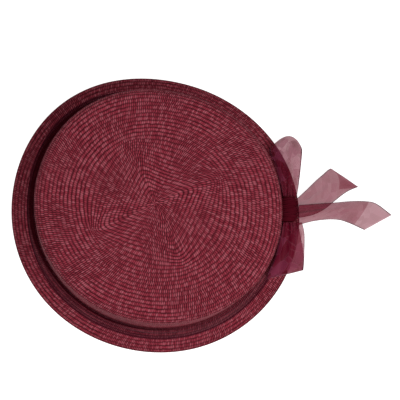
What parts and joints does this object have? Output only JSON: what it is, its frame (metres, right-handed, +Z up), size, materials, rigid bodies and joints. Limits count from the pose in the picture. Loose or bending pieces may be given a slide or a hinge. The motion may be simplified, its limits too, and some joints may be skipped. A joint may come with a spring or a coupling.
{
  "type": "travel hat",
  "caption": "Woven straw travel hat with a flat oval crown, a narrow sloping brim, and a sheer ribbon tied round the crown in a side bow.",
  "frame": {"origin": "middle of the whole hat's box in X and Y, on the surface that the brim rests on", "axes": "+Z up through the crown; +X from the crown out along the bow's tails, the longest way"},
  "size_m": [0.3166, 0.227, 0.105],
  "materials": {
    "straw": "woven straw braid, matt with a faint gloss on each strand",
    "organza": "sheer organza with a soft sheen"
  },
  "bodies": {
    "root": {"hat_body": "straw", "organza_band": "organza", "bow_knot": "organza", "bow_loop_upper": "organza", "bow_loop_lower": "organza", "bow_tail_upper": "organza", "bow_tail_lower": "organza"}
  },
  "joints": []
}
